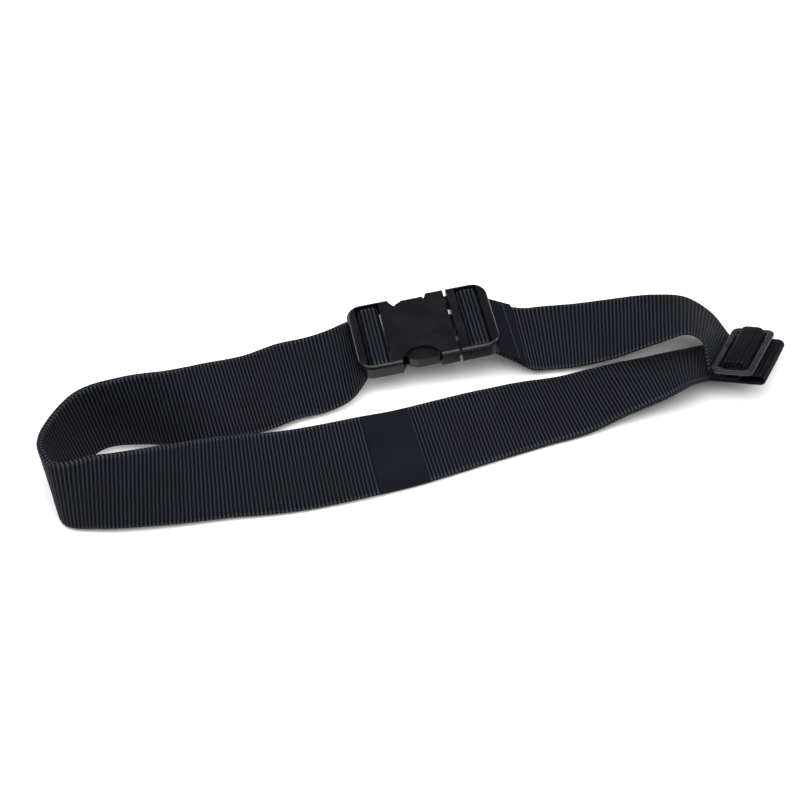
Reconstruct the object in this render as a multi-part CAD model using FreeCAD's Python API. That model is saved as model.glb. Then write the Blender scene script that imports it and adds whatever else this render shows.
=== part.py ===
import FreeCAD, Part
import math
import os

# Gait belt: a webbing strap with a side release buckle and a three-bar slide
# adjuster, buckled up and laid in a long loop.
# World frame: origin on the floor in the middle of the loop, +X along the
# loop towards the adjuster, +Y to the buckle side, +Z up. Millimetres.

# ---- driving dimensions ----
WEB_WIDTH = 50.0
WEB_THICK = 1.6
LAYER_GAP = 0.4
BAR_GAP = 0.25
RUN_FIT = 0.3

BUCKLE_LENGTH = 93.0
BUCKLE_WIDTH = WEB_WIDTH + 7.0
BUCKLE_THICK = 12.0
BUCKLE_TURN = (11.0, -4.5, 0.0)
BUCKLE_ORIGIN = (-30.7, 29.8, 20.0)
FEMALE_LENGTH = 65.0
WEB_END_LENGTH = 22.0
BAR_LENGTH = 8.0
BAR_HEIGHT = 4.5
END_BAR_LENGTH = 6.0
END_BAR_HEIGHT = 3.3
FRAME_DROP = 1.5
SHELL_WALL = 2.0
SHELL_SIDE = 3.5
WINDOW_LENGTH = 26.0
WINDOW_DEPTH = 11.0
WINDOW_FROM_MOUTH = 11.0
MOUTH_GAP = 2.0
FLANGE_LENGTH = 5.5
CORNER_RADIUS = 10.0
EDGE_RADIUS = 1.2

PRONG_WIDTH = 6.0
PRONG_HEIGHT = BUCKLE_THICK - 2 * SHELL_WALL - 0.8
PRONG_OFFSET = BUCKLE_WIDTH / 2 - 8.0
PRONG_TIP_FROM_END = 31.0
CATCH_DEPTH = 3.6
TONGUE_WIDTH = 14.0
TONGUE_THICK = 3.0
TONGUE_RAIL = BUCKLE_THICK / 2 - SHELL_WALL - TONGUE_THICK / 2 - 0.5

ADJUSTER_LENGTH = 28.0
ADJUSTER_WIDTH = WEB_WIDTH + 9.0
ADJUSTER_THICK = 3.6
ADJUSTER_SIDE_BAR = 4.5
ADJUSTER_MID_BAR = 6.0
ADJUSTER_CENTRE = (220.0, 22.7, 21.2)
ADJUSTER_TURN = (-20.0, -14.0, -16.0)
ADJUSTER_LEAD = ADJUSTER_LENGTH / 2 + 1.5

WEB_LEAVES = 5.5
SEWN_TAIL = 24.0
TACK_THICK = 0.4
TACK_LENGTH = 1.8
TACK_SPACING = 9.0
TACK_ROWS = 2
TACK_FROM_END = 3.5
THREAD_LIFT = 0.02
STATION_SPLIT = 3
SPLIT_SHARE = 0.62

# The lay below is for 50 mm webbing and a 93 mm buckle. It spreads with the
# webbing, and the single run closes up or opens out as the buckle changes.
LAY_SCALE = WEB_WIDTH / 50.0
BUCKLE_GROWTH = BUCKLE_LENGTH - 93.0 * LAY_SCALE

# Middle of the ground the belt covers, in the coordinates of the points below.
LOOP_MIDDLE = (16.8, -15.6, 0.5)

# ---- values that follow ----
HALF_WEB = WEB_WIDTH / 2
HALF_T = WEB_THICK / 2
PITCH = WEB_THICK + LAYER_GAP
BUCKLE_HALF = BUCKLE_WIDTH / 2
TOP = BUCKLE_THICK / 2
RAIL = (BUCKLE_WIDTH - WEB_WIDTH) / 2 - 1.0
BAR_TOP = TOP - WEB_THICK - BAR_GAP - 1.2
BAR_BOTTOM = BAR_TOP - BAR_HEIGHT
UPPER_LEG = BAR_BOTTOM - BAR_GAP - 1.0 - HALF_T
LOWER_LEG = UPPER_LEG - PITCH
MID_LEG = (UPPER_LEG + LOWER_LEG) / 2
SLOT = (WEB_END_LENGTH - END_BAR_LENGTH - BAR_LENGTH) / 2
FLANGE_START = FEMALE_LENGTH + MOUTH_GAP
FLANGE_END = FLANGE_START + FLANGE_LENGTH
MALE_BAR_START = BUCKLE_LENGTH - WEB_END_LENGTH + SLOT + 1.0
PRONG_PIVOT_X = FLANGE_START + 1.3
WINDOW_END = FEMALE_LENGTH - WINDOW_FROM_MOUTH
PLATE_HALF = ADJUSTER_THICK / 2
UNDER_BAR = -PLATE_HALF - BAR_GAP - HALF_T - 0.15
TAIL_LEVEL = UNDER_BAR - PITCH + 0.1
SEWN_LEVEL = TAIL_LEVEL - PITCH
RUN_LEVEL = SEWN_LEVEL - PITCH
PAIR_LEVEL = (SEWN_LEVEL + RUN_LEVEL) / 2
FOLD_X = ADJUSTER_LENGTH / 2 + 1.0

# ---- the way the strap lies ----
# Each point is the strap's middle: x, y, z, then the tilt of its width from
# upright and the compass heading of its upper edge, both in degrees.
DOUBLE_ROUTE = [
    (-38, 14, 18, 64, 105),
    (-53, 6, 17.5, 58, 107),
    (-71, -1, 19, 56, 111),
    (-91, -14, 22, 56, 112),
    (-113, -26, 28, 50, 113),
    (-138, -36, 32, 34, 115),
    (-165, -37, 31, 20, 135),
    (-192, -44, 29, 13, 165),
    (-205, -62, 27.5, 13, 180),
    (-211, -86, 27.5, 7, 165),
    (-204, -100, 27.5, 6, 110),
    (-183, -99, 27.3, 19, 86),
    (-157, -95, 26.3, 27, 87),
    (-130, -88, 23.3, 36, 92),
    (-103, -81, 20.5, 44, 98),
    (-75, -77, 19.3, 46, 103),
    (-47, -70.2, 18.3, 49, 106),
    (-21, -61, 15.8, 58, 108),
    (5, -51, 12.8, 66, 109),
    (32, -39.5, 11, 72, 109),
    (59, -28, 9, 78, 109),
    (86, -17, 6.5, 84, 109),
    (112, -8, 5, 91, 109),
    (138, 2, 7.5, 100, 106),
    (163, 8.5, 11.5, 107, 100),
    (187, 17, 13.5, 111, 84),
]
SINGLE_ROUTE = [
    (68, 45.5, 16, 86, 103),
    (82, 44.5, 10.5, 82, 99),
    (97, 46.5, 9.5, 81, 95),
    (113, 48, 10, 81, 91),
    (138, 50, 14, 85, 88),
    (168, 53, 20.5, 97, 86),
    (188, 51, 24.5, 108, 82),
    (198, 43, 23.5, 112, 76),
]


def vec(x, y, z):
    return FreeCAD.Vector(x, y, z)


def laid(x, y, z):
    # A point of the lay, moved so that the belt stands over the origin.
    return (vec(x, y, z) - vec(*LOOP_MIDDLE)) * LAY_SCALE


def width_direction(tilt, heading):
    t = math.radians(tilt)
    h = math.radians(heading)
    return vec(math.sin(t) * math.cos(h), math.sin(t) * math.sin(h), math.cos(t))


def buckle_place():
    return FreeCAD.Placement(laid(*BUCKLE_ORIGIN), FreeCAD.Rotation(*BUCKLE_TURN))


def adjuster_place():
    return FreeCAD.Placement(laid(*ADJUSTER_CENTRE), FreeCAD.Rotation(*ADJUSTER_TURN))


def placed(shape, place):
    moved = shape.copy()
    moved.Placement = place.multiply(moved.Placement)
    return moved


def station_from(place, x, z):
    # A strap section square to a fitting: middle, width direction, normal.
    turn = place.Rotation
    return (place.multVec(vec(x, 0, z)), turn.multVec(vec(0, 1, 0)), turn.multVec(vec(0, 0, 1)))


def smooth(values, i, t):
    # Value between entries i and i+1 on a curve through all of them.
    last = len(values) - 1
    v0 = values[max(i - 1, 0)]
    v1 = values[i]
    v2 = values[i + 1]
    v3 = values[min(i + 2, last)]
    bend = (v0 * 2 - v1 * 5 + v2 * 4 - v3) * (t * t)
    twist = (v1 * 3 - v0 - v2 * 3 + v3) * (t * t * t)
    return v1 + ((v2 - v0) * t + bend + twist) * 0.5


def stations(first, route, last, first_side, last_side, moved):
    # Middles, width directions and face normals of a strap along its route.
    coarse_middles = [first[0]]
    for i, s in enumerate(route):
        share = 1 - (i + 1) / (len(route) + 1)
        coarse_middles.append(laid(s[0], s[1], s[2]) + moved * share)
    coarse_middles.append(last[0])
    coarse_widths = [first[1]] + [width_direction(s[3], s[4]) for s in route] + [last[1]]
    middles = []
    widths = []
    for i in range(len(coarse_middles) - 1):
        for k in range(STATION_SPLIT):
            middles.append(smooth(coarse_middles, i, k / STATION_SPLIT))
            widths.append(smooth(coarse_widths, i, k / STATION_SPLIT))
    middles.append(last[0])
    widths.append(last[1])
    result = [(first[0], first[1], first[2] * first_side)]
    for i in range(1, len(middles) - 1):
        widths[i].normalize()
        normal = (middles[i + 1] - middles[i - 1]).cross(widths[i])
        normal.normalize()
        result.append((middles[i], widths[i], normal))
    result.append((last[0], last[1], last[2] * last_side))
    return result


def ribbon(rows, low, high):
    # Solid strap of flat facets between two distances from its middle surface.
    rings = []
    for middle, width, normal in rows:
        near = middle - width * HALF_WEB
        far = middle + width * HALF_WEB
        rings.append([near + normal * low, far + normal * low, far + normal * high, near + normal * high])
    faces = []
    for ring, after in zip(rings, rings[1:]):
        # Both broad faces fold along the same diagonal, so layers stay apart.
        for k, n in ((0, 1), (3, 2), (1, 2), (0, 3)):
            for corners in ((ring[k], ring[n], after[n]), (ring[k], after[n], after[k])):
                faces.append(Part.Face(Part.makePolygon(list(corners) + [corners[0]])))
    for ring in (rings[0], rings[-1]):
        for corners in ((ring[0], ring[1], ring[2]), (ring[0], ring[2], ring[3])):
            faces.append(Part.Face(Part.makePolygon(list(corners) + [corners[0]])))
    shell = Part.makeShell(faces)
    shell.sewShape()
    solid = Part.makeSolid(shell)
    if solid.Volume < 0:
        solid.reverse()
    return solid


def strip(points, radii, thick, width):
    # Bent strap in the XZ plane: a centre line with rounded corners, made
    # into a band of even thickness, then drawn out along Y.
    pts = [vec(x, 0, z) for x, z in points]
    sides = []
    for side in (thick / 2, -thick / 2):
        edges = []
        count = len(pts)
        previous = None
        for i in range(count):
            if i == 0 or i == count - 1:
                along = (pts[1] - pts[0]) if i == 0 else (pts[i] - pts[i - 1])
                along.normalize()
                off = vec(-along.z, 0, along.x) * side
                here = pts[i] + off
                if previous is not None:
                    edges.append(Part.LineSegment(previous, here).toShape())
                previous = here
                continue
            a = pts[i] - pts[i - 1]
            b = pts[i + 1] - pts[i]
            a.normalize()
            b.normalize()
            turn = a.x * b.z - a.z * b.x
            angle = math.acos(max(-1.0, min(1.0, a.dot(b))))
            reach = radii[i] * math.tan(angle / 2)
            sign = 1.0 if turn > 0 else -1.0
            centre = pts[i] - a * reach + vec(-a.z, 0, a.x) * (radii[i] * sign)
            radius = radii[i] - side * sign
            start = centre - vec(-a.z, 0, a.x) * (radius * sign)
            end = centre - vec(-b.z, 0, b.x) * (radius * sign)
            half = (start - centre) + (end - centre)
            half.normalize()
            edges.append(Part.LineSegment(previous, start).toShape())
            edges.append(Part.Arc(start, centre + half * radius, end).toShape())
            previous = end
        sides.append(edges)
    first = sides[0][0].Vertexes[0].Point
    first_other = sides[1][0].Vertexes[0].Point
    last = sides[0][-1].Vertexes[-1].Point
    last_other = sides[1][-1].Vertexes[-1].Point
    caps = [Part.LineSegment(first, first_other).toShape(), Part.LineSegment(last, last_other).toShape()]
    wire = Part.Wire(Part.__sortEdges__(sides[0] + sides[1] + caps))
    solid = Part.Face(wire).extrude(vec(0, width, 0))
    solid.translate(vec(0, -width / 2, 0))
    return solid


def block(x0, x1, half_y, z0, z1):
    return Part.makeBox(x1 - x0, 2 * half_y, z1 - z0, vec(x0, -half_y, z0))


def rounded(shape, radius, wanted):
    edges = [edge for edge in shape.Edges if wanted(edge)]
    return shape.makeFillet(radius, edges)


def upright(edge):
    a = edge.Vertexes[0].Point
    b = edge.Vertexes[-1].Point
    return abs(a.x - b.x) < 0.01 and abs(a.y - b.y) < 0.01


def lengthwise(edge):
    a = edge.Vertexes[0].Point
    b = edge.Vertexes[-1].Point
    return abs(a.x - b.x) > 5 and abs(a.y - b.y) < 0.01 and abs(a.z - b.z) < 0.01


def buckle_blank(x0, x1, round_start, round_end):
    # Outer form shared by both halves: a flat block with rounded corners.
    blank = block(x0, x1, BUCKLE_HALF, -TOP, TOP)

    def corner(edge):
        at = edge.Vertexes[0].Point.x
        return upright(edge) and ((round_start and at < x0 + 0.1) or (round_end and at > x1 - 0.1))

    if round_start or round_end:
        blank = rounded(blank, CORNER_RADIUS, corner)
    return rounded(blank, EDGE_RADIUS * 2, lengthwise)


def web_bar(x0, x1):
    bar = block(x0, x1, BUCKLE_HALF - RAIL + 0.5, BAR_BOTTOM, BAR_TOP)

    def across(edge):
        a = edge.Vertexes[0].Point
        b = edge.Vertexes[-1].Point
        return abs(a.y - b.y) > 5

    return rounded(bar, BAR_HEIGHT * 0.35, across)


def web_frame(blank, hole_start, hole_end, bar_start, end_bar_start):
    # Opens a blank for the webbing and puts the two cross bars back.
    inner = BUCKLE_HALF - RAIL
    frame = blank.cut(block(hole_start, hole_end, inner, -TOP - 1, TOP + 1))
    frame = frame.cut(block(end_bar_start - 0.01, end_bar_start + END_BAR_LENGTH + 0.01, inner,
                            -TOP - 1, TOP - END_BAR_HEIGHT))
    low = block(hole_start - 9, hole_end + 9, BUCKLE_HALF + 1, -TOP - 1, -TOP + FRAME_DROP)
    span = [hole_start, hole_end, end_bar_start, end_bar_start + END_BAR_LENGTH]
    low = low.common(block(min(span) - 1, max(span) + 1, BUCKLE_HALF + 2, -TOP - 2, TOP))
    frame = frame.cut(low)
    return frame.fuse(web_bar(bar_start, bar_start + BAR_LENGTH))


def female_shell():
    blank = buckle_blank(0, FEMALE_LENGTH, True, False)
    shell = web_frame(blank, END_BAR_LENGTH, WEB_END_LENGTH, END_BAR_LENGTH + SLOT, 0.0)
    cavity = block(WEB_END_LENGTH + 3.0, FEMALE_LENGTH + 1, BUCKLE_HALF - SHELL_SIDE,
                   -TOP + SHELL_WALL, TOP - SHELL_WALL)
    shell = shell.cut(cavity)
    half = WINDOW_LENGTH / 2
    radius = (half ** 2 + WINDOW_DEPTH ** 2) / (2 * WINDOW_DEPTH)
    for side in (1, -1):
        middle = BUCKLE_HALF - WINDOW_DEPTH + radius
        window = Part.makeCylinder(radius, 2 * TOP + 2, vec(WINDOW_END - half, side * middle, -TOP - 1))
        shell = shell.cut(window)
    return shell


def male_frame():
    blank = buckle_blank(FLANGE_START, BUCKLE_LENGTH, False, True)
    end_bar = BUCKLE_LENGTH - END_BAR_LENGTH
    frame = web_frame(blank, FLANGE_END, end_bar, MALE_BAR_START, end_bar)
    for side in (1, -1):
        pocket = Part.makeBox(5.0, PRONG_WIDTH + 2 * RUN_FIT, PRONG_HEIGHT + 2 * RUN_FIT,
                              vec(FLANGE_START - 0.5, side * PRONG_OFFSET - PRONG_WIDTH / 2 - RUN_FIT,
                                  -PRONG_HEIGHT / 2 - RUN_FIT))
        frame = frame.cut(pocket)
    tongue = block(PRONG_TIP_FROM_END + 4, FLANGE_START + 1, TONGUE_WIDTH / 2,
                   -TONGUE_THICK / 2, TONGUE_THICK / 2)
    tongue = rounded(tongue, TONGUE_WIDTH * 0.35, lambda edge: upright(edge)
                     and edge.Vertexes[0].Point.x < FLANGE_START)
    frame = frame.fuse(tongue)
    for side in (1, -1):
        rail = Part.makeBox(FLANGE_START - PRONG_TIP_FROM_END - 9, TONGUE_RAIL, PRONG_HEIGHT - 0.6,
                            vec(PRONG_TIP_FROM_END + 10, side * (TONGUE_WIDTH - TONGUE_RAIL) / 2
                                - TONGUE_RAIL / 2, -PRONG_HEIGHT / 2 + 0.3))
        frame = frame.fuse(rail)
    return frame


def prong(side):
    # Latch arm of the male half: round root, straight arm, pressed head with
    # a square shoulder that catches behind the window's edge.
    inner = PRONG_OFFSET - PRONG_WIDTH / 2
    outer = PRONG_OFFSET + PRONG_WIDTH / 2
    head = outer + CATCH_DEPTH
    shoulder = WINDOW_END - 2.2
    tip = PRONG_TIP_FROM_END
    outline = [
        (PRONG_PIVOT_X, inner), (PRONG_PIVOT_X, outer), (shoulder, outer), (shoulder, head),
        (tip + 7, head), (tip + 2, outer + 1), (tip, PRONG_OFFSET + 1), (tip, inner + 1.5), (tip + 2, inner),
    ]
    base = -PRONG_HEIGHT / 2
    points = [vec(x, side * y, base) for x, y in outline]
    arm = Part.Face(Part.makePolygon(points + [points[0]])).extrude(vec(0, 0, PRONG_HEIGHT))
    root = Part.makeCylinder(PRONG_WIDTH / 2, PRONG_HEIGHT, vec(PRONG_PIVOT_X, side * PRONG_OFFSET, base))
    return arm.fuse(root).removeSplitter()


def adjuster_plate():
    half_x = ADJUSTER_LENGTH / 2
    half_y = ADJUSTER_WIDTH / 2
    plate = block(-half_x, half_x, half_y, -PLATE_HALF, PLATE_HALF)
    plate = rounded(plate, 5.0, upright)
    slot_y = HALF_WEB + 0.8
    for side in (1, -1):
        low = ADJUSTER_MID_BAR / 2
        high = half_x - ADJUSTER_SIDE_BAR
        slot = Part.makeBox(high - low, 2 * slot_y, ADJUSTER_THICK + 2,
                            vec(low if side > 0 else -high, -slot_y, -PLATE_HALF - 1))
        plate = plate.cut(slot)

    def rim(edge):
        a = edge.Vertexes[0].Point
        b = edge.Vertexes[-1].Point
        return abs(a.z - b.z) < 0.01 and abs(abs(a.z) - PLATE_HALF) < 0.01

    return rounded(plate, 1.0, rim)


def female_loop():
    # Webbing round the female half's inner bar: the inner layer comes in on
    # top, goes over the bar, and leaves below as the outer layer.
    start = END_BAR_LENGTH + SLOT
    over = BAR_TOP + BAR_GAP + HALF_T
    side = HALF_T + BAR_GAP
    points = [
        (WEB_LEAVES, UPPER_LEG), (start - side - 0.6, UPPER_LEG), (start - side, over),
        (start + BAR_LENGTH + side, over), (start + BAR_LENGTH + side, LOWER_LEG), (WEB_LEAVES, LOWER_LEG),
    ]
    return strip(points, [0, 1.6, 1.6, 1.6, 1.6, 0], WEB_THICK, WEB_WIDTH)


def male_loop():
    # Webbing round the male half's inner bar with its sewn-down end.
    start = MALE_BAR_START
    over = BAR_TOP + BAR_GAP + HALF_T
    side = HALF_T + BAR_GAP
    right = start + BAR_LENGTH + side
    points = [
        (BUCKLE_LENGTH - WEB_LEAVES, UPPER_LEG), (right + 0.6, UPPER_LEG), (right, over),
        (start - side, over), (start - side, LOWER_LEG), (BUCKLE_LENGTH - WEB_LEAVES, LOWER_LEG),
    ]
    return strip(points, [0, 1.6, 1.6, 1.6, 1.6, 0], WEB_THICK, WEB_WIDTH)


def adjuster_sewn_loop():
    # End of the outer layer, round the adjuster's middle bar and sewn back.
    side = ADJUSTER_MID_BAR / 2 + BAR_GAP + HALF_T
    over = PLATE_HALF + BAR_GAP + HALF_T
    points = [
        (-ADJUSTER_LEAD, SEWN_LEVEL), (side, SEWN_LEVEL), (side, over),
        (-side, over), (-side - 0.4, TAIL_LEVEL), (-ADJUSTER_LEAD, TAIL_LEVEL),
    ]
    return strip(points, [0, 2.0, 1.7, 1.7, 1.3, 0], WEB_THICK, WEB_WIDTH)


def adjuster_weave():
    # Running strap through the adjuster: under, over the middle bar, under.
    over = PLATE_HALF + BAR_GAP + WEB_THICK + LAYER_GAP + HALF_T
    points = [
        (-ADJUSTER_LEAD, UNDER_BAR), (-8.7, UNDER_BAR), (-6.4, over),
        (6.4, over), (8.7, UNDER_BAR), (FOLD_X, UNDER_BAR),
    ]
    return strip(points, [0, 1.5, 2.2, 2.2, 1.5, 0], WEB_THICK, WEB_WIDTH)


def right_fold():
    # Running strap past the adjuster, turned under and led back to the loop.
    radius = (UNDER_BAR - RUN_LEVEL) / 2
    end = FOLD_X + 2.0 + radius
    points = [(FOLD_X, UNDER_BAR), (end, UNDER_BAR), (end, RUN_LEVEL), (-ADJUSTER_LEAD, RUN_LEVEL)]
    return strip(points, [0, radius - 0.05, radius - 0.05, 0], WEB_THICK, WEB_WIDTH)


def between(rows, distance):
    # Strap section at a distance along its route.
    gone = 0.0
    for row, after in zip(rows, rows[1:]):
        step = (after[0] - row[0]).Length
        if gone + step >= distance:
            t = (distance - gone) / step
            middle = row[0] + (after[0] - row[0]) * t
            width = row[1] + (after[1] - row[1]) * t
            normal = row[2] + (after[2] - row[2]) * t
            width.normalize()
            normal.normalize()
            return (middle, width, normal)
        gone += step
    return rows[-1]


def part_rows(rows, start, end):
    # The piece of a route between two distances along it.
    kept = []
    gone = 0.0
    previous = rows[0]
    for row in rows:
        gone += (row[0] - previous[0]).Length
        previous = row
        if start + 0.5 < gone < end - 0.5:
            kept.append(row)
    first = between(rows, start) if start > 0 else rows[0]
    return [first] + kept + [between(rows, end)]


def route_length(rows):
    return sum((after[0] - row[0]).Length for row, after in zip(rows, rows[1:]))


def thread_marks():
    # Both edges of each line of thread, as distances from the male half.
    marks = []
    for k in range(TACK_ROWS):
        start = SEWN_TAIL - TACK_FROM_END - k * TACK_SPACING
        marks.append((start, start + TACK_LENGTH))
    return marks


def sectioned(rows, distance):
    # The same route with one more section, so every layer facets alike there.
    kept = []
    gone = 0.0
    previous = rows[0]
    added = False
    for row in rows:
        gone += (row[0] - previous[0]).Length
        previous = row
        if not added and gone > distance:
            kept.append(between(rows, distance))
            added = True
        kept.append(row)
    return kept


def stitch_rows(rows):
    # Two rows of lock stitching across the sewn end, standing just proud.
    low = HALF_T + LAYER_GAP + WEB_THICK + THREAD_LIFT
    rows_of_thread = []
    for start, end in thread_marks():
        ends = [between(rows, start), between(rows, end)]
        rows_of_thread.append(ribbon(ends, low, low + TACK_THICK))
    return Part.makeCompound(rows_of_thread)


def main():
    os.makedirs("parts", exist_ok=True)
    buckle = buckle_place()
    adjuster = adjuster_place()
    from_female = station_from(buckle, WEB_LEAVES, MID_LEG)
    to_adjuster = station_from(adjuster, -ADJUSTER_LEAD - RUN_FIT, PAIR_LEVEL)
    from_male = station_from(buckle, BUCKLE_LENGTH - WEB_LEAVES + RUN_FIT, LOWER_LEG)
    to_weave = station_from(adjuster, -ADJUSTER_LEAD - RUN_FIT, UNDER_BAR)
    double = stations(from_female, DOUBLE_ROUTE, to_adjuster, -1, 1, vec(0, 0, 0))
    growth = buckle.Rotation.multVec(vec(BUCKLE_GROWTH, 0, 0))
    single = stations(from_male, SINGLE_ROUTE, to_weave, 1, 1, growth)
    for start, end in thread_marks():
        single = sectioned(sectioned(single, start), end)
    half_gap = LAYER_GAP / 2
    single_length = route_length(single)
    parting = single_length * SPLIT_SHARE
    over = HALF_T + LAYER_GAP
    nodes = {
        "strap_outer_layer": ribbon(double, half_gap, half_gap + WEB_THICK),
        "strap_inner_layer": ribbon(double, -half_gap - WEB_THICK, -half_gap),
        "strap_buckle_run": ribbon(part_rows(single, 0, parting), -HALF_T, HALF_T),
        "strap_adjuster_run": ribbon(part_rows(single, parting, single_length - 0.01), -HALF_T, HALF_T),
        "strap_female_loop": placed(female_loop(), buckle),
        "strap_right_fold": placed(right_fold(), adjuster),
        "female_shell": placed(female_shell(), buckle),
        "male_frame": placed(male_frame(), buckle),
        "strap_male_loop": placed(male_loop(), buckle),
        "strap_sewn_tail": ribbon(part_rows(single, 0, SEWN_TAIL), over, over + WEB_THICK),
        "male_stitching": stitch_rows(single),
        "far_prong": placed(prong(1), buckle),
        "near_prong": placed(prong(-1), buckle),
        "slide_adjuster": placed(adjuster_plate(), adjuster),
        "strap_adjuster_weave": placed(adjuster_weave(), adjuster),
        "strap_sewn_loop": placed(adjuster_sewn_loop(), adjuster),
    }
    for name, shape in nodes.items():
        print(name, "valid" if shape.isValid() else "NOT VALID", len(shape.Solids), round(shape.Volume, 1))
        shape.exportStep("parts/" + name + ".step")
    pivot = buckle.multVec(vec(PRONG_PIVOT_X, PRONG_OFFSET, 0))
    other = buckle.multVec(vec(PRONG_PIVOT_X, -PRONG_OFFSET, 0))
    print("far pivot", [round(v, 3) for v in pivot], "near pivot", [round(v, 3) for v in other])
    cut = 2 * route_length(double) + single_length
    print("pair", round(route_length(double), 1), "single", round(single_length, 1), "runs", round(cut, 1))
    print("buckle up", [round(v, 5) for v in buckle.Rotation.multVec(vec(0, 0, 1))])
    print("buckle axis", [round(v, 5) for v in buckle.Rotation.multVec(vec(1, 0, 0))])
    print("adjuster axis", [round(v, 5) for v in adjuster.Rotation.multVec(vec(-1, 0, 0))])


main()
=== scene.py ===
import math

import bmesh
import bpy
from mathutils import Matrix, Vector


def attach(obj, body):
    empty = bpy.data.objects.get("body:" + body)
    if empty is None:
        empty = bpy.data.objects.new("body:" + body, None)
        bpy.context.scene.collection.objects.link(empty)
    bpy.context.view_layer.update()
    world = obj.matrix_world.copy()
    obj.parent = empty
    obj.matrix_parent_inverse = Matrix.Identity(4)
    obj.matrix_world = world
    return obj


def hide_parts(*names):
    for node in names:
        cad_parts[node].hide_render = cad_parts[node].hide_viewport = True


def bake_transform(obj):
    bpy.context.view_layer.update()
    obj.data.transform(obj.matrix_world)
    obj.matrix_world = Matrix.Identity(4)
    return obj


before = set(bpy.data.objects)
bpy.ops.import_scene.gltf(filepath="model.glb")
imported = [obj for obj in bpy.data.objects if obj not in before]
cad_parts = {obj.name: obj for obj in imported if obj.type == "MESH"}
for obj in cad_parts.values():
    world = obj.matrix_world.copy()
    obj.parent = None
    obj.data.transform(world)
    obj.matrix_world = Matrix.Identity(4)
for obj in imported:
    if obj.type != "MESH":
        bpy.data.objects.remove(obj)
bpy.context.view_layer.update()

# ---------------------------------------------------------------- studio
# A white sweep of seamless paper under soft light boxes, with the camera
# looking down on the belt as it lies. None of this belongs to the belt.
studio = bpy.context.scene
studio.view_settings.view_transform = "Standard"
room = bpy.data.worlds.new("studio_air")
studio.world = room
room.use_nodes = True
room.node_tree.nodes["Background"].inputs["Color"].default_value = (1.0, 1.0, 1.0, 1.0)
room.node_tree.nodes["Background"].inputs["Strength"].default_value = 0.24

lens = bpy.data.cameras.new("studio_camera")
lens.lens = 90.0
lens.sensor_width = 36.0
lens.clip_start = 0.05
camera = bpy.data.objects.new("studio_camera", lens)
studio.collection.objects.link(camera)
camera.location = (-0.0168, -0.8429, 0.9530)
camera_aim = Vector((-0.0168, 0.0156, -0.0005))
camera.rotation_euler = (camera_aim - camera.location).to_track_quat("-Z", "Y").to_euler()
studio.camera = camera


def light_box(name, place, aim, width, height, power):
    lamp = bpy.data.lights.new(name, "AREA")
    lamp.shape = "RECTANGLE"
    lamp.size = width
    lamp.size_y = height
    lamp.energy = power
    holder = bpy.data.objects.new(name, lamp)
    studio.collection.objects.link(holder)
    holder.location = place
    holder.rotation_euler = (Vector(aim) - Vector(place)).to_track_quat("-Z", "Y").to_euler()


light_box("overhead_box", (-0.10, -0.35, 1.6), (0.0, 0.05, 0.0), 2.2, 1.5, 46.0)
light_box("right_box", (1.3, 0.25, 0.80), (0.05, 0.0, 0.0), 0.35, 0.9, 9.0)
light_box("left_back_box", (-1.0, 0.9, 0.55), (-0.05, 0.0, 0.0), 0.8, 0.25, 5.0)
light_box("front_strip", (0.25, -1.50, 1.35), (0.0, 0.03, 0.0), 1.0, 0.08, 4.0)

paper_mesh = bmesh.new()
bmesh.ops.create_grid(paper_mesh, x_segments=2, y_segments=2, size=4.0)
paper_data = bpy.data.meshes.new("studio_paper")
paper_mesh.to_mesh(paper_data)
paper_mesh.free()
paper = bpy.data.objects.new("studio_paper", paper_data)
studio.collection.objects.link(paper)
paper_finish = bpy.data.materials.new("matt_paper")
paper_finish.use_nodes = True
paper_finish.node_tree.nodes["Principled BSDF"].inputs["Base Color"].default_value = (0.93, 0.93, 0.93, 1.0)
paper_finish.node_tree.nodes["Principled BSDF"].inputs["Roughness"].default_value = 0.9
paper_data.materials.append(paper_finish)

# ---------------------------------------------------------------- webbing
# One length of black two-inch webbing, woven with a heavy weft that raises
# close cross ribs. It is sewn round the male half, threads the adjuster,
# folds back, and runs doubled round the loop.
WEB_WIDTH = 0.050
WEB_THICK = 0.0016
LAYER_STEP = 0.0020
RIB_PITCH = 0.00243
LOOP_MIDDLE = Vector((0.0168, -0.0156, 0.0005))

# How the strap lies: middle x, y, z in millimetres, then the tilt of its
# width from upright and the heading of its upper edge in degrees.
DOUBLE_ROUTE = [
    (-38, 14, 18, 64, 105),
    (-53, 6, 17.5, 58, 107),
    (-71, -1, 19, 56, 111),
    (-91, -14, 22, 56, 112),
    (-113, -26, 28, 50, 113),
    (-138, -36, 32, 34, 115),
    (-165, -37, 31, 20, 135),
    (-192, -44, 29, 13, 165),
    (-205, -62, 27.5, 13, 180),
    (-211, -86, 27.5, 7, 165),
    (-204, -100, 27.5, 6, 110),
    (-183, -99, 27.3, 19, 86),
    (-157, -95, 26.3, 27, 87),
    (-130, -88, 23.3, 36, 92),
    (-103, -81, 20.5, 44, 98),
    (-75, -77, 19.3, 46, 103),
    (-47, -70.2, 18.3, 49, 106),
    (-21, -61, 15.8, 58, 108),
    (5, -51, 12.8, 66, 109),
    (32, -39.5, 11, 72, 109),
    (59, -28, 9, 78, 109),
    (86, -17, 6.5, 84, 109),
    (112, -8, 5, 91, 109),
    (138, 2, 7.5, 100, 106),
    (163, 8.5, 11.5, 107, 100),
    (187, 17, 13.5, 111, 84),
]
SINGLE_ROUTE = [
    (68, 45.5, 16, 86, 103),
    (82, 44.5, 10.5, 82, 99),
    (97, 46.5, 9.5, 81, 95),
    (113, 48, 10, 81, 91),
    (138, 50, 14, 85, 88),
    (168, 53, 20.5, 97, 86),
    (188, 51, 24.5, 108, 82),
    (198, 43, 23.5, 112, 76),
]


def laid(x, y, z):
    return Vector((x, y, z)) * 0.001 - LOOP_MIDDLE


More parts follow.
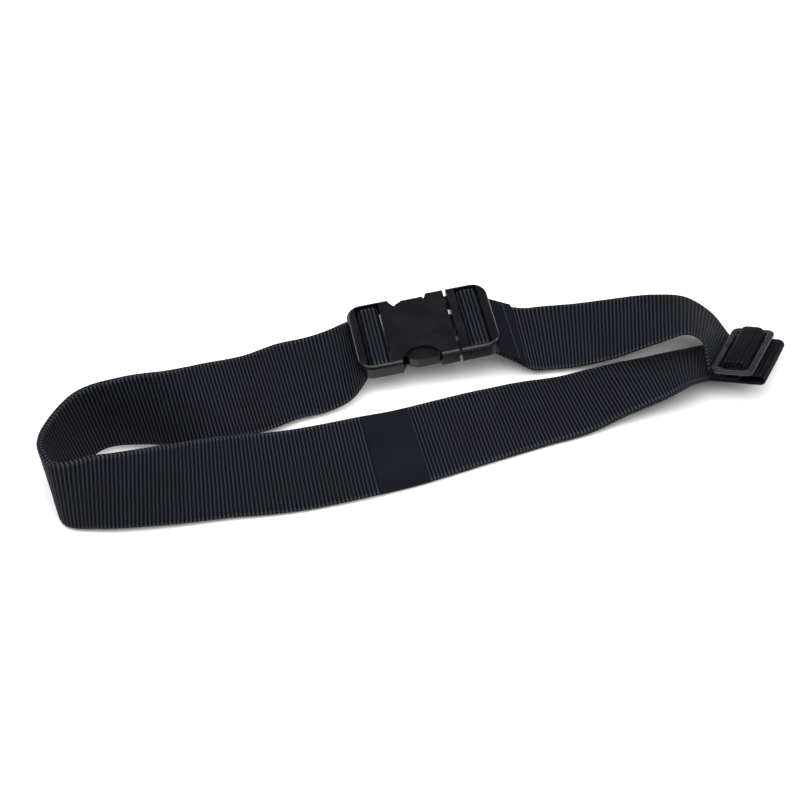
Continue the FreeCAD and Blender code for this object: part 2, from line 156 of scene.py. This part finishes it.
def turned(yaw, pitch, roll):
    return (Matrix.Rotation(math.radians(yaw), 4, "Z") @ Matrix.Rotation(math.radians(pitch), 4, "Y")
            @ Matrix.Rotation(math.radians(roll), 4, "X"))


buckle_place = Matrix.Translation(laid(-30.7, 29.8, 20.0)) @ turned(11.0, -4.5, 0.0)
adjuster_place = Matrix.Translation(laid(220.0, 22.7, 21.2)) @ turned(-20.0, -14.0, -16.0)


def lie(row):
    # Middle and width direction of one point of a lay.
    x, y, z, tilt, heading = row
    t = math.radians(tilt)
    h = math.radians(heading)
    return laid(x, y, z), Vector((math.sin(t) * math.cos(h), math.sin(t) * math.sin(h), math.cos(t)))


def at_fitting(place, x, z):
    # Strap square to a fitting, x along it and z above its middle plane, mm.
    return place @ Vector((x * 0.001, 0.0, z * 0.001)), (place.to_3x3() @ Vector((0.0, 1.0, 0.0)))


def shifted(line, step):
    # The same lay, moved off its surface by a layer.
    moved = []
    for i, (middle, width) in enumerate(line):
        before = line[max(i - 1, 0)][0]
        after = line[min(i + 1, len(line) - 1)][0]
        normal = (after - before).cross(width).normalized()
        moved.append((middle + normal * step, width))
    return moved


def flowing(line, spacing):
    # Close, evenly spaced points on a smooth line through the chosen ones.
    lengths = [(b[0] - a[0]).length for a, b in zip(line, line[1:])]

    def slope(i, part):
        if i == 0:
            return (line[1][part] - line[0][part]) / lengths[0]
        if i == len(line) - 1:
            return (line[-1][part] - line[-2][part]) / lengths[-1]
        before = (line[i][part] - line[i - 1][part]) / lengths[i - 1]
        after = (line[i + 1][part] - line[i][part]) / lengths[i]
        return (before * lengths[i] + after * lengths[i - 1]) / (lengths[i - 1] + lengths[i])

    close = []
    for i, length in enumerate(lengths):
        steps = max(1, round(length / spacing))
        for k in range(steps):
            t = k / steps
            both = []
            for part in (0, 1):
                h00 = 2 * t ** 3 - 3 * t ** 2 + 1
                h10 = t ** 3 - 2 * t ** 2 + t
                h01 = -2 * t ** 3 + 3 * t ** 2
                h11 = t ** 3 - t ** 2
                both.append(line[i][part] * h00 + slope(i, part) * (h10 * length)
                            + line[i + 1][part] * h01 + slope(i + 1, part) * (h11 * length))
            close.append((both[0], both[1].normalized()))
    close.append(line[-1])
    return close


def length_of(line):
    return sum((b[0] - a[0]).length for a, b in zip(line, line[1:]))


def part_of(line, start, end):
    # The stretch of a close-set line between two distances along it.
    gone = 0.0
    kept = []
    for i, point in enumerate(line):
        if i:
            gone += (point[0] - line[i - 1][0]).length
        if start - 1e-6 <= gone <= end + 1e-6:
            kept.append(point)
    return kept


def web_strap(name, line, first_mark, finish):
    # A strip of webbing woven flat, then laid along the line. Its map counts
    # metres along and across the strap, for the weave.
    ranks = 8
    count = len(line) - 1
    cloth = bmesh.new()
    bmesh.ops.create_grid(cloth, x_segments=count, y_segments=ranks, size=0.5)
    marks = [first_mark]
    for a, b in zip(line, line[1:]):
        marks.append(marks[-1] + (b[0] - a[0]).length)
    weave_map = cloth.loops.layers.uv.new("weave")
    flat = {}
    for vert in cloth.verts:
        i = round((vert.co.x + 0.5) * count)
        across = vert.co.y
        middle, width = line[i]
        before = line[max(i - 1, 0)][0]
        after = line[min(i + 1, count)][0]
        normal = (after - before).cross(width).normalized()
        cup = 0.00012 * (1 - (2 * across) ** 2)
        sway = 0.00010 * math.sin(marks[i] * 190.0) * math.sin(marks[i] * 57.0 + 1.0)
        flat[vert] = (marks[i], across * WEB_WIDTH)
        narrowing = 1 - 0.004 * math.sin(marks[i] * 83.0) ** 2
        vert.co = middle + width * (across * WEB_WIDTH * narrowing) + normal * (cup + sway)
    for face in cloth.faces:
        face.smooth = True
        for loop in face.loops:
            loop[weave_map].uv = flat[loop.vert]
    data = bpy.data.meshes.new(name)
    cloth.to_mesh(data)
    cloth.free()
    strap = bpy.data.objects.new(name, data)
    studio.collection.objects.link(strap)
    data.materials.append(finish)
    body = strap.modifiers.new("cloth_thickness", "SOLIDIFY")
    body.thickness = WEB_THICK
    body.offset = 0.0
    edge = strap.modifiers.new("soft_edges", "BEVEL")
    edge.width = 0.00045
    edge.segments = 3
    edge.limit_method = "ANGLE"
    edge.angle_limit = math.radians(50)
    return strap


def maths(tree, kind, first, second=None, third=None):
    node = tree.nodes.new("ShaderNodeMath")
    node.operation = kind
    for socket, value in zip(node.inputs, (first, second, third)):
        if value is None:
            continue
        if isinstance(value, (int, float)):
            socket.default_value = value
        else:
            tree.links.new(value, socket)
    return node.outputs[0]


def ramp(tree, value, low, high, to_low=0.0, to_high=1.0):
    node = tree.nodes.new("ShaderNodeMapRange")
    node.interpolation_type = "SMOOTHSTEP"
    tree.links.new(value, node.inputs["Value"])
    for socket, amount in zip(("From Min", "From Max", "To Min", "To Max"), (low, high, to_low, to_high)):
        node.inputs[socket].default_value = amount
    return node.outputs["Result"]


def tinted(tree, share, dark, light):
    node = tree.nodes.new("ShaderNodeMix")
    node.data_type = "RGBA"
    tree.links.new(share, node.inputs["Factor"])
    for socket, colour in ((node.inputs["A"], dark), (node.inputs["B"], light)):
        if isinstance(colour, tuple):
            socket.default_value = colour
        else:
            tree.links.new(colour, socket)
    return node.outputs["Result"]


def ribbed_webbing(name, plain_from, plain_to, rib_show=1.0):
    # Cross ribs from the weft and warp yarns over them, with the rib crests
    # painted light as painted sheen and the grooves painted dark as painted
    # shade; a brighter selvage, partly worn fuzz and partly painted highlight;
    # and one plain stretch, darker and without ribs. A low rib_show dims and
    # flattens the ribs all over, as painted shade.
    finish = bpy.data.materials.new(name)
    finish.use_nodes = True
    tree = finish.node_tree
    shader = tree.nodes["Principled BSDF"]
    mapped = tree.nodes.new("ShaderNodeUVMap")
    mapped.uv_map = "weave"
    split = tree.nodes.new("ShaderNodeSeparateXYZ")
    tree.links.new(mapped.outputs["UV"], split.inputs["Vector"])
    along = split.outputs["X"]
    across = split.outputs["Y"]
    wander = tree.nodes.new("ShaderNodeTexNoise")
    wander.inputs["Scale"].default_value = 85.0
    wander.inputs["Detail"].default_value = 2.0
    tree.links.new(mapped.outputs["UV"], wander.inputs["Vector"])
    drift = maths(tree, "MULTIPLY_ADD", wander.outputs["Fac"], 0.0007, -0.00035)
    rib_turn = maths(tree, "MULTIPLY", maths(tree, "ADD", along, drift), math.pi / RIB_PITCH)
    ridge = maths(tree, "ABSOLUTE", maths(tree, "SINE", rib_turn))
    crest = maths(tree, "POWER", ridge, 4.5)
    yarn_turn = maths(tree, "MULTIPLY", across, math.pi / 0.00078)
    yarn_step = maths(tree, "ADD", yarn_turn, maths(tree, "MULTIPLY", rib_turn, 0.5))
    yarn = maths(tree, "ABSOLUTE", maths(tree, "SINE", yarn_step))
    thread = maths(tree, "MULTIPLY_ADD", yarn, 0.55, 0.45)
    fleck = tree.nodes.new("ShaderNodeTexNoise")
    fleck.inputs["Scale"].default_value = 1500.0
    fleck.inputs["Detail"].default_value = 3.0
    tree.links.new(mapped.outputs["UV"], fleck.inputs["Vector"])
    patch = tree.nodes.new("ShaderNodeTexNoise")
    patch.inputs["Scale"].default_value = 32.0
    patch.inputs["Detail"].default_value = 3.0
    tree.links.new(mapped.outputs["UV"], patch.inputs["Vector"])
    weave = maths(tree, "MULTIPLY", crest, thread)
    # Brighter selvage: partly worn fuzz and partly painted highlight along the strap's edges.
    edge = ramp(tree, maths(tree, "ABSOLUTE", across), 0.0222, 0.0243)
    selvage_fuzz_and_highlight = maths(tree, "MULTIPLY", edge, maths(tree, "POWER", ridge, 3.0))
    # The plain stretch: darker and without ribs in colour and relief. On the doubled run it is painted
    # shade; on the single run it is the sewn-down end pressed flat.
    plain = maths(tree, "MULTIPLY", ramp(tree, along, plain_from - 0.0008, plain_from + 0.0008),
                  ramp(tree, along, plain_to - 0.0008, plain_to + 0.0008, 1.0, 0.0))
    woven = maths(tree, "SUBTRACT", 1.0, plain)
    light = maths(tree, "MULTIPLY", weave, ramp(tree, patch.outputs["Fac"], 0.3, 0.7, 0.75, 1.05))
    light = maths(tree, "MULTIPLY", light, ramp(tree, fleck.outputs["Fac"], 0.35, 0.65, 0.7, 1.15))
    light = maths(tree, "ADD", light, maths(tree, "MULTIPLY", selvage_fuzz_and_highlight, 0.9))
    light = maths(tree, "MULTIPLY", maths(tree, "MULTIPLY", light, woven), rib_show)
    # Painted sheen on the rib crests and painted shade in the grooves, with the random tone of patch and
    # fleck laid over them.
    shade = tinted(tree, light, (0.0010, 0.0012, 0.0022, 1.0), (0.0330, 0.0360, 0.0480, 1.0))
    shade = tinted(tree, plain, shade, (0.0050, 0.0056, 0.0090, 1.0))
    tree.links.new(shade, shader.inputs["Base Color"])
    raised = maths(tree, "ADD", crest, maths(tree, "MULTIPLY", yarn, 0.22))
    height = maths(tree, "MULTIPLY", woven, raised)
    height = maths(tree, "MULTIPLY_ADD", fleck.outputs["Fac"], 0.15, height)
    relief = tree.nodes.new("ShaderNodeBump")
    relief.inputs["Strength"].default_value = 0.75 * rib_show
    relief.inputs["Distance"].default_value = 0.00035
    tree.links.new(height, relief.inputs["Height"])
    tree.links.new(relief.outputs["Normal"], shader.inputs["Normal"])
    tree.links.new(ramp(tree, patch.outputs["Fac"], 0.3, 0.7, 0.62, 0.78), shader.inputs["Roughness"])
    shader.inputs["Specular IOR Level"].default_value = 0.05
    shader.inputs["Sheen Weight"].default_value = 0.02
    shader.inputs["Sheen Roughness"].default_value = 0.4
    shader.inputs["Sheen Tint"].default_value = (0.75, 0.8, 1.0, 1.0)
    return finish


# ---------------------------------------------------------------- doubled run
# The greater part of the belt: the strap leaves the adjuster as the inner
# layer, runs round the loop to the female half, turns round its bar, and
# comes back over itself as the outer layer. It is held only by its ends.
double_middle = ([at_fitting(buckle_place, 5.5, -4.6)] + [lie(row) for row in DOUBLE_ROUTE]
                 + [at_fitting(adjuster_place, -15.5, -7.9)])
inner_layer = list(reversed(shifted(double_middle, -LAYER_STEP / 2)))
inner_layer = [at_fitting(adjuster_place, -15.5, -8.9)] + inner_layer[1:-1]
outer_layer = shifted(double_middle, LAYER_STEP / 2)[1:-1] + [at_fitting(adjuster_place, -15.5, -6.9)]
# The outer layer lies below at the buckle, so the turn starts above.
# Each point is along the buckle, then above its middle plane, in millimetres.
female_turn = [(5.5, -3.6), (7.5, -3.5), (8.75, -2.2), (8.95, 1.6), (9.7, 3.5),
               (11.6, 4.0), (14.0, 4.05), (16.4, 4.0), (19.3, 3.4), (20.4, 1.6),
               (20.4, -3.2), (19.4, -5.1), (16.4, -5.6), (12.0, -5.6), (5.5, -5.6)]
turn_line = [at_fitting(buckle_place, x, z) for x, z in female_turn]
inner_layer = flowing(inner_layer + turn_line[:1], 0.003)
turn_line = flowing(turn_line, 0.0007)
outer_layer = flowing(turn_line[-1:] + outer_layer, 0.003)
doubled_line = inner_layer + turn_line[1:] + outer_layer[1:]
# Painted shade: a stretch of the outer layer past this point is coloured darker and flat, without ribs,
# where the run bends away from the light.
shade_band_near = min(outer_layer, key=lambda p: (p[0] - laid(-27, -63, 16)).length)
SHADE_BAND_PAST = 0.009
SHADE_BAND_LENGTH = 0.032
shade_band_mark = length_of(doubled_line[:doubled_line.index(shade_band_near) + 1]) + SHADE_BAND_PAST
black_webbing = ribbed_webbing("black_ribbed_webbing", shade_band_mark, shade_band_mark + SHADE_BAND_LENGTH)
doubled_run = web_strap("strap_doubled_run", doubled_line, 0.0, black_webbing)
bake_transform(doubled_run)
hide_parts("strap_outer_layer", "strap_inner_layer", "strap_female_loop")

# ---------------------------------------------------------------- buckle side
# The single run from the male half. Its end goes round the male half's bar
# and is folded back on top of itself and sewn down.
single_middle = ([at_fitting(buckle_place, 87.5, -5.6)] + [lie(row) for row in SINGLE_ROUTE]
                 + [at_fitting(adjuster_place, -15.5, -3.0)])
single_line = flowing(single_middle, 0.003)
single_length = length_of(single_line)
PARTING_SHARE = 0.62
SEWN_TAIL = 0.024
parting = single_length * PARTING_SHARE
tail_line = list(reversed(part_of(shifted(single_line, LAYER_STEP), 0.003, SEWN_TAIL)))
male_turn = [(87.5, -3.6), (86.4, -3.4), (85.25, -2.2), (85.05, 1.6), (84.3, 3.5),
             (82.4, 4.0), (80.0, 4.05), (77.6, 4.0), (74.9, 3.4), (73.9, 1.6),
             (73.9, -3.2), (74.9, -5.1), (77.6, -5.6), (82.0, -5.6), (87.5, -5.6)]
male_turn = flowing([at_fitting(buckle_place, x, z) for x, z in male_turn], 0.0007)
buckle_side_line = tail_line + male_turn + part_of(single_line, 0.001, parting)
plain_webbing = ribbed_webbing("black_ribbed_webbing_single", -1.0, 0.020)
buckle_side = web_strap("strap_buckle_side", buckle_side_line, 0.0, plain_webbing)
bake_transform(buckle_side)
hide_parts("strap_buckle_run", "strap_male_loop", "strap_sewn_tail")

# ---------------------------------------------------------------- adjuster side
# The rest of the single run, which twists up and over towards the adjuster.
adjuster_side_line = part_of(single_line, parting - 0.0031, single_length)
adjuster_side = web_strap("strap_adjuster_side", adjuster_side_line, length_of(buckle_side_line),
                          plain_webbing)
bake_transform(adjuster_side)
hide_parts("strap_adjuster_run")

# ---------------------------------------------------------------- weave through the adjuster
# The running strap goes under the left bar, over the middle bar, down and
# under the right bar, then bulges, folds under and leads back to the loop.
weave_points = [(-15.5, -3.0), (-10.0, -3.0), (-8.4, -2.4), (-7.5, -0.8), (-6.7, 2.6), (-5.6, 4.3),
                (-3.6, 4.85), (0.0, 4.9), (3.6, 4.85), (5.6, 4.3), (6.7, 2.6), (7.5, -0.8),
                (8.4, -2.4), (10.0, -3.0), (15.0, -3.0), (17.6, -3.1), (19.4, -4.2), (20.0, -5.9),
                (19.4, -7.7), (17.6, -8.8), (15.0, -8.9), (0.0, -8.9), (-15.5, -8.9)]
weave_line = flowing([at_fitting(adjuster_place, x, z) for x, z in weave_points], 0.0009)
# Painted shade: inside the adjuster the ribs are dimmed and flattened to rib_show 0.22, darker where the
# strap turns away from the light.
shaded_webbing = ribbed_webbing("black_shaded_webbing", -1.0, -0.9, 0.22)
weave_strap = web_strap("strap_adjuster_weave_fold", weave_line, 0.0, shaded_webbing)
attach(weave_strap, "adjuster")
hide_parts("strap_adjuster_weave", "strap_right_fold")

# ---------------------------------------------------------------- sewn end
# The strap's other end wraps the adjuster's middle bar and is sewn back.
sewn_points = [(-15.5, -6.9), (0.0, -6.9), (2.6, -6.8), (3.8, -5.9), (4.05, -4.2), (4.05, 0.6),
               (3.7, 2.2), (2.2, 2.85), (0.0, 2.9), (-2.2, 2.85), (-3.7, 2.2), (-4.1, 0.6),
               (-4.3, -3.0), (-5.0, -4.5), (-7.0, -4.9), (-15.5, -4.9)]
sewn_line = flowing([at_fitting(adjuster_place, x, z) for x, z in sewn_points], 0.0009)
sewn_end = web_strap("strap_sewn_end", sewn_line, 0.0, shaded_webbing)
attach(sewn_end, "adjuster")
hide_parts("strap_sewn_loop")

# ---------------------------------------------------------------- stitching
# Bonded black thread: lines of lock stitches across the strap that hold the
# folded-back end at the male half.
def sewing_thread():
    finish = bpy.data.materials.new("bonded_thread")
    finish.use_nodes = True
    tree = finish.node_tree
    shader = tree.nodes["Principled BSDF"]
    placed_at = tree.nodes.new("ShaderNodeTexCoord")
    strands = tree.nodes.new("ShaderNodeTexNoise")
    strands.inputs["Scale"].default_value = 2200.0
    tree.links.new(placed_at.outputs["Object"], strands.inputs["Vector"])
    shade = tinted(tree, strands.outputs["Fac"], (0.004, 0.004, 0.006, 1.0), (0.030, 0.032, 0.040, 1.0))
    tree.links.new(shade, shader.inputs["Base Color"])
    shader.inputs["Roughness"].default_value = 0.5
    return finish


thread_finish = sewing_thread()


def stitch_line(name, line, distance, lift, finish):
    gone = 0.0
    here = 1
    while gone < distance and here < len(line) - 1:
        gone += (line[here][0] - line[here - 1][0]).length
        here += 1
    middle, width = line[here]
    along = (line[min(here + 1, len(line) - 1)][0] - line[here - 1][0]).normalized()
    normal = along.cross(width).normalized()
    seam = bmesh.new()
    for k in range(15):
        made = bmesh.ops.create_uvsphere(seam, u_segments=10, v_segments=6, radius=1.0)["verts"]
        bmesh.ops.scale(seam, vec=(0.00033, 0.00150, 0.00030), verts=made)
        turn = Matrix((along, width, normal)).transposed().to_4x4()
        spot = middle + width * ((k - 7) * 0.0031) + normal * lift
        bmesh.ops.transform(seam, matrix=Matrix.Translation(spot) @ turn, verts=made)
    for face in seam.faces:
        face.smooth = True
    data = bpy.data.meshes.new(name)
    seam.to_mesh(data)
    seam.free()
    piece = bpy.data.objects.new(name, data)
    studio.collection.objects.link(piece)
    data.materials.append(finish)
    return piece


# Distances of the two lines from where the strap leaves the male half, metres.
STITCH_PLACES = (0.0205, 0.0115)
for number, distance in enumerate(STITCH_PLACES):
    seam = stitch_line("male_end_stitches_%d" % (number + 1), shifted(single_line, LAYER_STEP),
                       distance, WEB_THICK / 2 + 0.0001, thread_finish)
    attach(seam, "male_half")
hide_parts("male_stitching")

# ---------------------------------------------------------------- buckle
# Injection-moulded side-release buckle in black acetal: the shell of the
# female half, the male half with its tongue, and its two latch arms. The
# mould leaves a semi-gloss skin with a fine bloom and light handling marks.
def moulded_plastic(name, colour, bloom, gloss_low, gloss_high):
    finish = bpy.data.materials.new(name)
    finish.use_nodes = True
    tree = finish.node_tree
    shader = tree.nodes["Principled BSDF"]
    placed_at = tree.nodes.new("ShaderNodeTexCoord")
    cloud = tree.nodes.new("ShaderNodeTexNoise")
    cloud.inputs["Scale"].default_value = 60.0
    cloud.inputs["Detail"].default_value = 4.0
    tree.links.new(placed_at.outputs["Object"], cloud.inputs["Vector"])
    grain = tree.nodes.new("ShaderNodeTexNoise")
    grain.inputs["Scale"].default_value = 2600.0
    grain.inputs["Detail"].default_value = 2.0
    tree.links.new(placed_at.outputs["Object"], grain.inputs["Vector"])
    scuffs = tree.nodes.new("ShaderNodeTexNoise")
    scuffs.inputs["Scale"].default_value = 240.0
    scuffs.inputs["Distortion"].default_value = 2.0
    tree.links.new(placed_at.outputs["Object"], scuffs.inputs["Vector"])
    marks = ramp(tree, scuffs.outputs["Fac"], 0.62, 0.72)
    shade = tinted(tree, ramp(tree, cloud.outputs["Fac"], 0.35, 0.65), colour, bloom)
    tree.links.new(shade, shader.inputs["Base Color"])
    rough = ramp(tree, cloud.outputs["Fac"], 0.3, 0.7, gloss_low, gloss_high)
    tree.links.new(maths(tree, "MULTIPLY_ADD", marks, 0.10, rough), shader.inputs["Roughness"])
    relief = tree.nodes.new("ShaderNodeBump")
    relief.inputs["Strength"].default_value = 0.18
    relief.inputs["Distance"].default_value = 0.00005
    tree.links.new(grain.outputs["Fac"], relief.inputs["Height"])
    tree.links.new(relief.outputs["Normal"], shader.inputs["Normal"])
    shader.inputs["Specular IOR Level"].default_value = 0.30
    return finish


buckle_acetal = moulded_plastic("buckle_acetal", (0.0022, 0.0025, 0.0038, 1.0),
                                (0.0036, 0.0040, 0.0060, 1.0), 0.24, 0.34)
for node in ("female_shell", "male_frame", "far_prong", "near_prong"):
    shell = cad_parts[node]
    for place in shell.material_slots:
        place.material = buckle_acetal

# ---------------------------------------------------------------- adjuster
# Flat three-bar slide moulded in the same plastic, a little shinier where
# the webbing has polished the outer bar. Its colours are set lighter than
# the buckle's as painted sheen.
adjuster_acetal_painted_sheen = moulded_plastic("adjuster_acetal_painted_sheen", (0.0060, 0.0070, 0.0100, 1.0),
                                  (0.0110, 0.0125, 0.0175, 1.0), 0.18, 0.28)
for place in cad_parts["slide_adjuster"].material_slots:
    place.material = adjuster_acetal_painted_sheen
